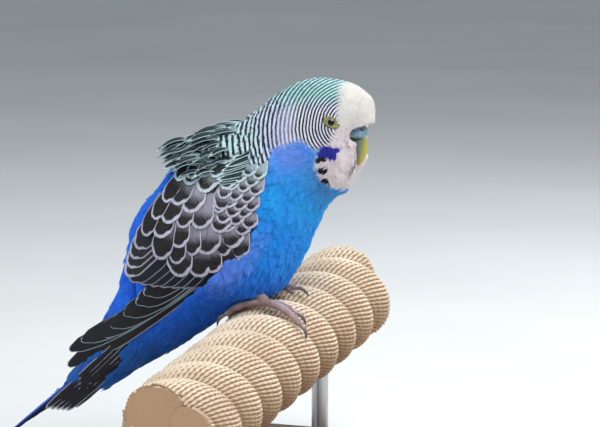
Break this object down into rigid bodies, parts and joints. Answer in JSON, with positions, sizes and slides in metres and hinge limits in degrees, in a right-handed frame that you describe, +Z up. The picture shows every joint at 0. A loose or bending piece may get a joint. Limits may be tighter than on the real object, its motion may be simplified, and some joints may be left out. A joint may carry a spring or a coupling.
{
  "type": "budgerigar museum model",
  "caption": "Life-size still model of a blue budgerigar sitting with folded wings on a cut length of thick laid rope, held over a flat base by short rods.",
  "frame": {"origin": "on the floor, at the middle of the underside of the stand's base", "axes": "+X the way the bird faces, +Y the bird's left, +Z up"},
  "size_m": [0.152, 0.1645, 0.1436],
  "materials": {
    "head_feathers": "soft short feathers: white forehead and mask, fine black bars behind",
    "nape_feathers": "pale blue and mint feathers with fine black bars",
    "body_feathers": "soft loose bright blue feathers, cobalt below",
    "wing_coverts": "brown-black feathers with broad pale grey-lilac edges",
    "flight_feathers": "long stiff near-black feathers with thin pale edges and a satin gloss",
    "tail_feathers": "long stiff blue and navy feathers with dark shafts",
    "bill_horn": "smooth satin horn, olive-yellow, grey-green at the root",
    "cere_skin": "smooth glossy grey-blue skin",
    "eye": "wet, clear and very glossy, black with a thin pale ring",
    "leg_skin": "dry scaled grey-lilac skin",
    "claw_horn": "satin dark grey horn",
    "rope_fibre": "matt straw-coloured plant fibre, laid in strands of fine yarns",
    "base_wood": "oiled dark hardwood, satin",
    "rod_steel": "brushed stainless steel rod"
  },
  "bodies": {
    "root": {"head": "head_feathers", "neck": "nape_feathers", "torso": "body_feathers", "wing_right_coverts": "wing_coverts", "wing_right_flight": "flight_feathers", "thigh_right": "body_feathers", "shank_right": "leg_skin", "foot_right": "leg_skin", "eye_right": "eye", "wing_left_coverts": "wing_coverts", "wing_left_flight": "flight_feathers", "thigh_left": "body_feathers", "shank_left": "leg_skin", "foot_left": "leg_skin", "eye_left": "eye", "tail": "tail_feathers", "tail_coverts_upper": "body_feathers", "tail_coverts_under": "body_feathers", "cere": "cere_skin", "bill_upper": "bill_horn", "bill_lower": "bill_horn", "claw_right_outer_front": "claw_horn", "claw_right_inner_front": "claw_horn", "claw_right_outer_back": "claw_horn", "claw_right_inner_back": "claw_horn", "claw_left_outer_front": "claw_horn", "claw_left_inner_front": "claw_horn", "claw_left_outer_back": "claw_horn", "claw_left_inner_back": "claw_horn", "perch_rope": "rope_fibre", "stand_base": "base_wood", "stand_rod_near": "rod_steel", "stand_rod_far": "rod_steel"}
  },
  "joints": []
}
